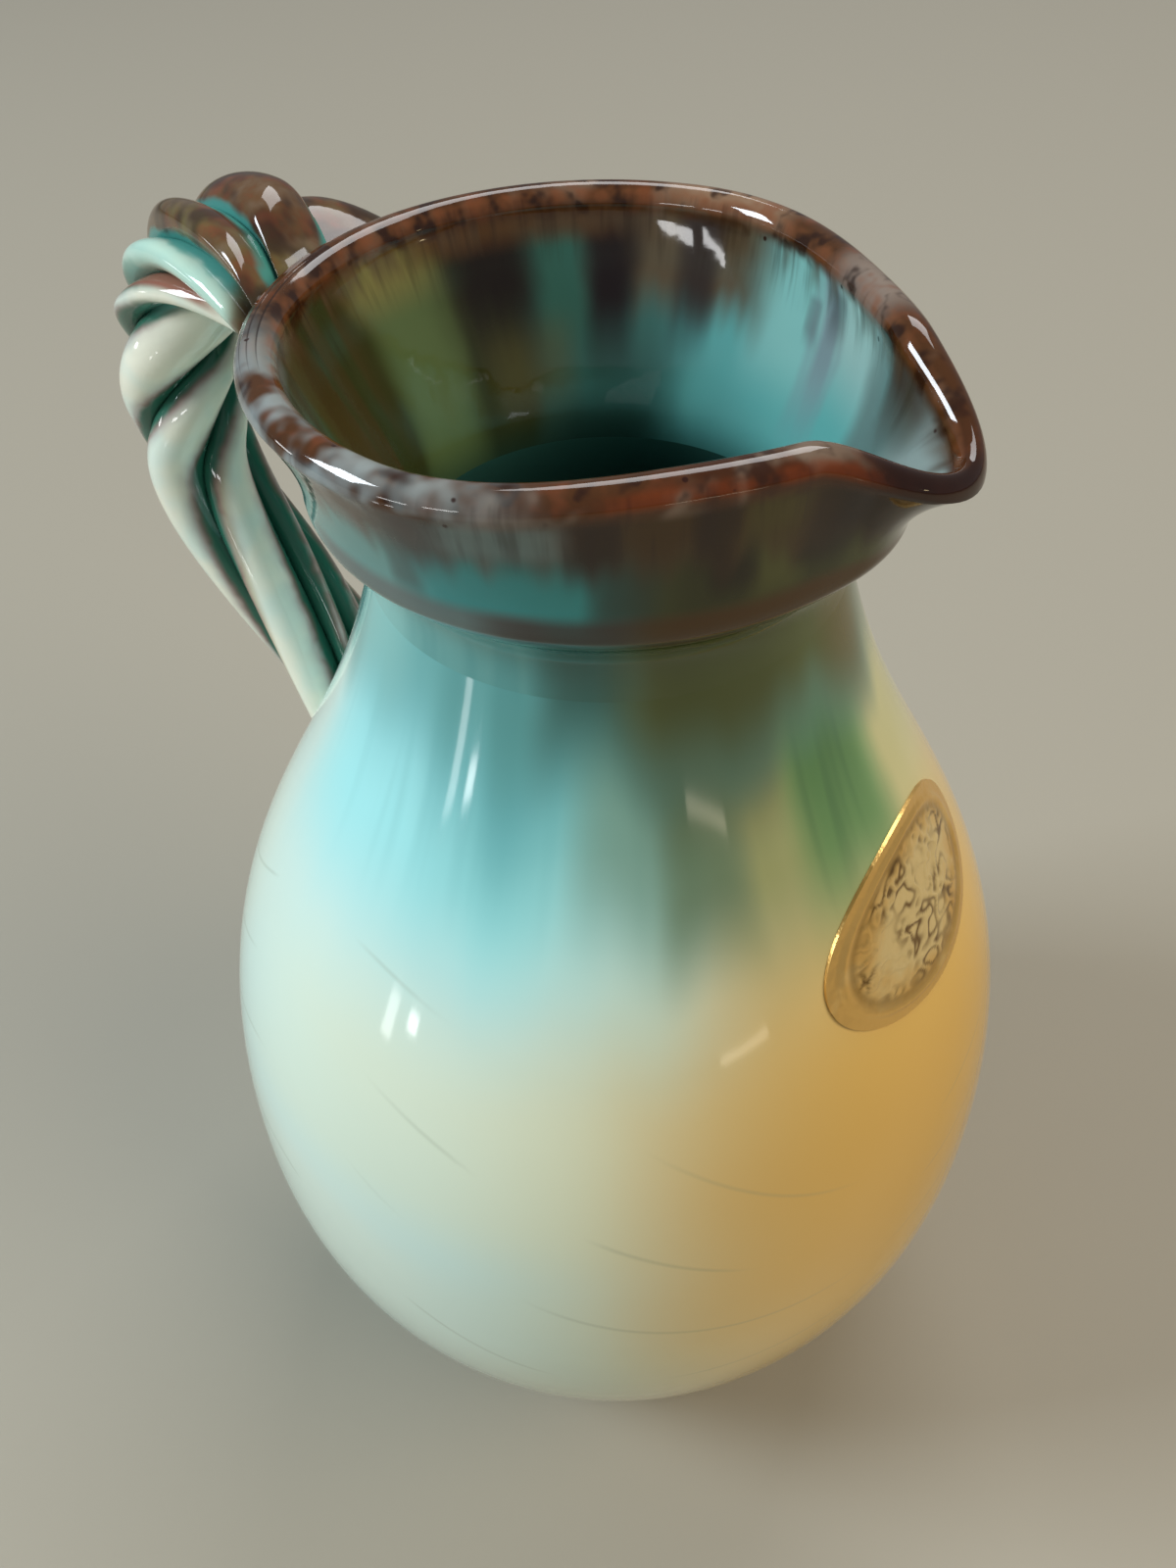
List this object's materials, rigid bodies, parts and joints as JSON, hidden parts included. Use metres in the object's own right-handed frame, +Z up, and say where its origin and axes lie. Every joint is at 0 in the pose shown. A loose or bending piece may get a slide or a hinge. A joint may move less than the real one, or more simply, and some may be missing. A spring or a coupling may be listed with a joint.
{
  "type": "pouring jug",
  "caption": "Small glazed earthenware pouring jug with an ovoid belly, a flared collar with a pinched spout, a rope-twist handle and a plain oval foil label.",
  "frame": {"origin": "middle of the flat base, on the jug's axis", "axes": "+Z up along the axis, +X towards the spout, the handle on -X"},
  "size_m": [0.0938, 0.084, 0.1287],
  "materials": {
    "body_glaze": "glossy crazed glaze, cream to honey with turquoise runs",
    "collar_glaze": "glossy drip glaze, brown over turquoise",
    "handle_glaze": "glossy glaze, cream crests with green and brown grooves",
    "label_foil": "gold foil face with a plain embossed border"
  },
  "bodies": {
    "root": {"body": "body_glaze", "collar": "collar_glaze", "handle_coil_1": "handle_glaze", "handle_coil_2": "handle_glaze", "handle_coil_3": "handle_glaze", "handle_coil_4": "handle_glaze", "handle_coil_5": "handle_glaze", "foil_label": "label_foil"}
  },
  "joints": []
}
